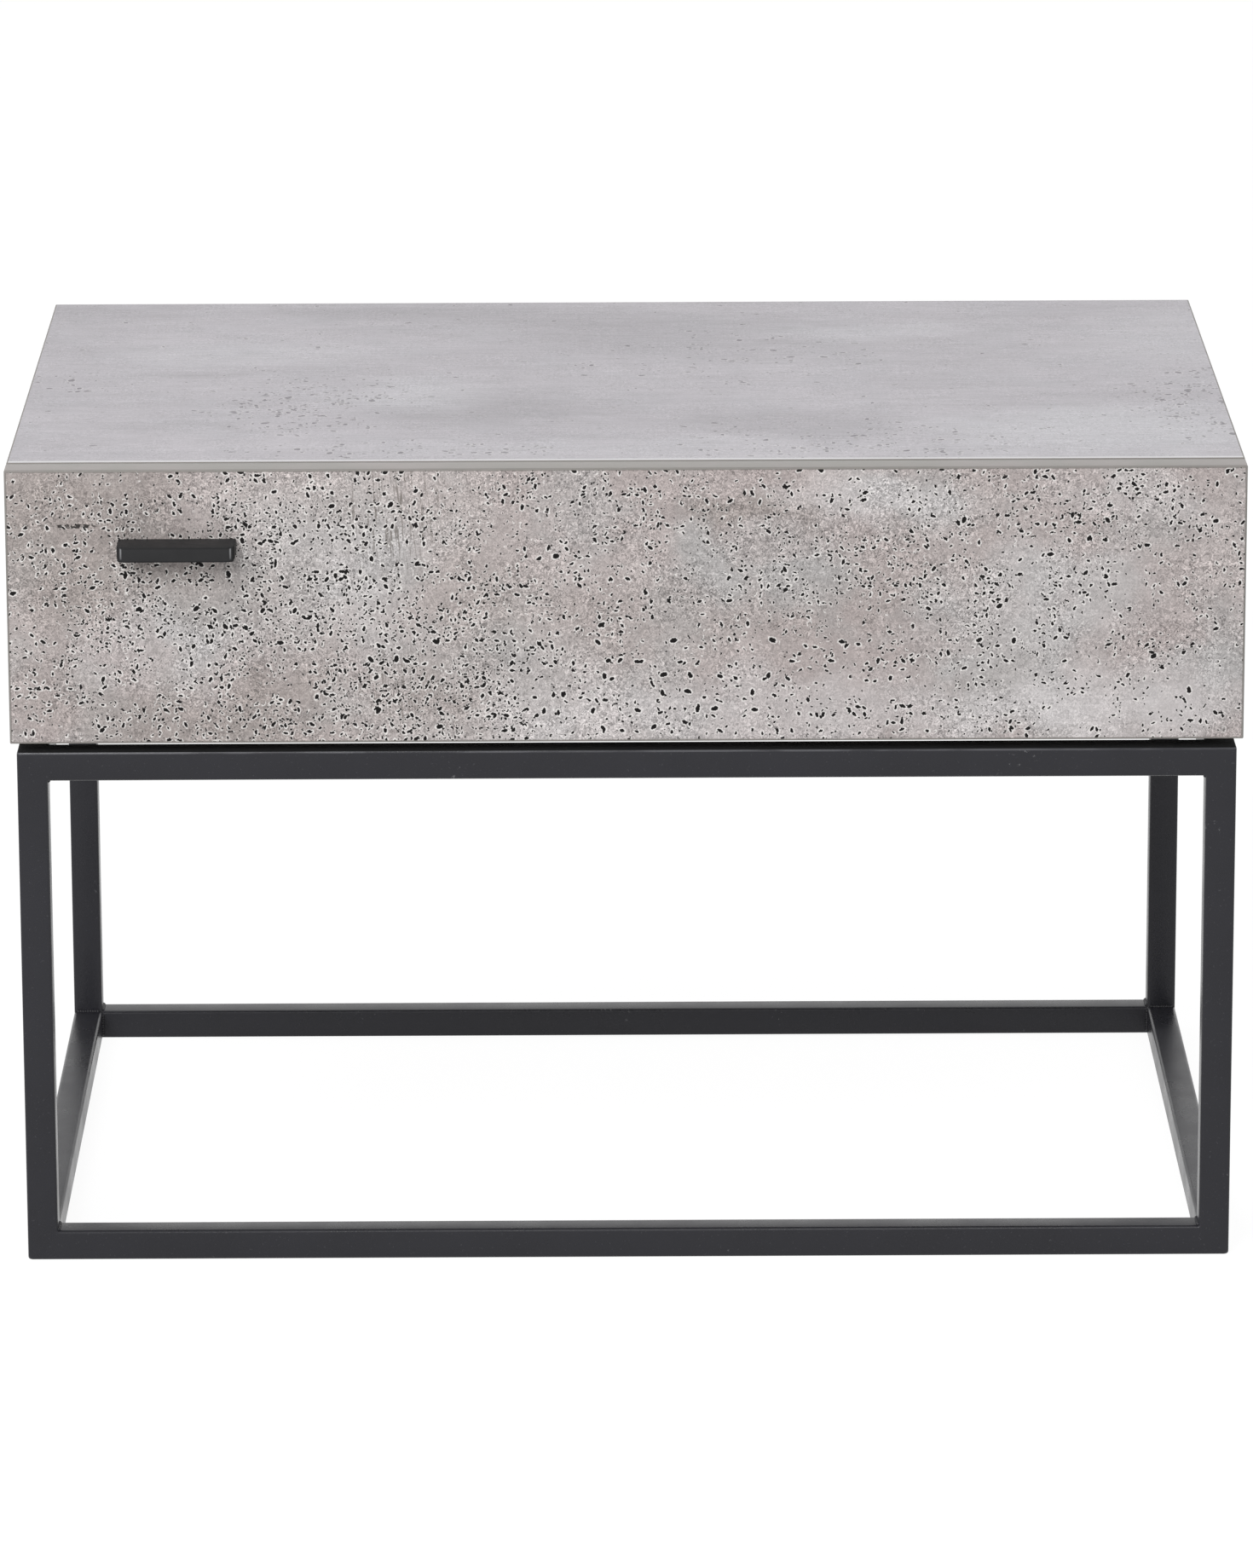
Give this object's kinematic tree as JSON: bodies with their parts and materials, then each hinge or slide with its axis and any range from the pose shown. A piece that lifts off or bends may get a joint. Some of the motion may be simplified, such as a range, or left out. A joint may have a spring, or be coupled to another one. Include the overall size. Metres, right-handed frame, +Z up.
{
  "type": "side table with drawer",
  "caption": "Low side table: a concrete-look box with a full-width drawer and small bar pull, standing on an open cube frame of dark square steel tube.",
  "frame": {"origin": "on the floor, below the middle of the overall outline, handle included", "axes": "+X along the width, to the right seen from the front; +Y to the back, so the drawer opens towards -Y; +Z up"},
  "size_m": [0.6, 0.418, 0.4],
  "materials": {
    "frame_paint": "fine matt powder coat, charcoal",
    "black_steel": "black zinc",
    "spacer_nylon": "moulded nylon",
    "zinc_steel": "zinc plated",
    "concrete_board": "board faced in smooth cast-concrete decor",
    "edging_strip": "thin grey edging",
    "beech": "fluted beech",
    "runner_coat": "light grey epoxy coat",
    "drawer_board": "board faced in plain light grey",
    "drawer_sheet": "thin fibreboard, light grey face",
    "bumper_gel": "clear soft bumper",
    "handle_paint": "satin black coat on cast zinc",
    "roller_nylon": "white nylon"
  },
  "bodies": {
    "table": {"front_left_leg": "frame_paint", "front_right_leg": "frame_paint", "front_bottom_rail": "frame_paint", "front_top_rail": "frame_paint", "rear_left_leg": "frame_paint", "rear_right_leg": "frame_paint", "rear_bottom_rail": "frame_paint", "rear_top_rail": "frame_paint", "left_bottom_rail": "frame_paint", "left_top_rail": "frame_paint", "right_bottom_rail": "frame_paint", "right_top_rail": "frame_paint", "frame_welds": "frame_paint", "frame_spacers": "spacer_nylon", "frame_bolts": "black_steel", "box_inserts": "zinc_steel", "top_panel": "concrete_board", "bottom_panel": "concrete_board", "left_side_panel": "concrete_board", "right_side_panel": "concrete_board", "back_panel": "concrete_board", "top_panel_edging": "edging_strip", "bottom_panel_edging": "edging_strip", "side_panel_edging": "edging_strip", "carcass_cams": "zinc_steel", "carcass_cam_bolts": "zinc_steel", "carcass_dowels": "beech", "carcass_screws": "zinc_steel", "left_cabinet_runner": "runner_coat", "right_cabinet_runner": "runner_coat", "cabinet_roller_pins": "zinc_steel", "cabinet_runner_screws": "zinc_steel"},
    "drawer": {"drawer_front": "concrete_board", "drawer_front_edging": "edging_strip", "drawer_left_side": "drawer_board", "drawer_right_side": "drawer_board", "drawer_back": "drawer_board", "drawer_bottom": "drawer_sheet", "drawer_cams": "zinc_steel", "drawer_cam_bolts": "zinc_steel", "drawer_dowels": "beech", "drawer_screws": "zinc_steel", "drawer_bumpers": "bumper_gel", "left_drawer_runner": "runner_coat", "right_drawer_runner": "runner_coat", "drawer_roller_pins": "zinc_steel", "drawer_runner_screws": "zinc_steel", "handle": "handle_paint", "handle_screws": "zinc_steel"},
    "left_cabinet_roller": {"left_cabinet_roller": "roller_nylon"},
    "right_cabinet_roller": {"right_cabinet_roller": "roller_nylon"},
    "left_drawer_roller": {"left_drawer_roller": "roller_nylon"},
    "right_drawer_roller": {"right_drawer_roller": "roller_nylon"}
  },
  "joints": [
    {"name": "drawer_slide", "type": "slide", "parent": "table", "child": "drawer", "axis": [0, -1, 0], "range_m": [0, 0.26]},
    {"name": "left_cabinet_roller_spin", "type": "hinge", "parent": "table", "child": "left_cabinet_roller", "pos_m": [-0.2782, -0.16, 0.301], "axis": [1, 0, 0], "continuous": true},
    {"name": "left_drawer_roller_spin", "type": "hinge", "parent": "drawer", "child": "left_drawer_roller", "pos_m": [-0.2775, 0.164, 0.3005], "axis": [1, 0, 0], "continuous": true},
    {"name": "right_cabinet_roller_spin", "type": "hinge", "parent": "table", "child": "right_cabinet_roller", "pos_m": [0.2782, -0.16, 0.301], "axis": [1, 0, 0], "continuous": true},
    {"name": "right_drawer_roller_spin", "type": "hinge", "parent": "drawer", "child": "right_drawer_roller", "pos_m": [0.2775, 0.164, 0.3005], "axis": [1, 0, 0], "continuous": true}
  ],
  "couplings": [
    {"joint": "left_cabinet_roller_spin", "follows": "drawer_slide", "rad_per_m": 100},
    {"joint": "left_drawer_roller_spin", "follows": "drawer_slide", "rad_per_m": 100},
    {"joint": "right_cabinet_roller_spin", "follows": "drawer_slide", "rad_per_m": 100},
    {"joint": "right_drawer_roller_spin", "follows": "drawer_slide", "rad_per_m": 100}
  ]
}
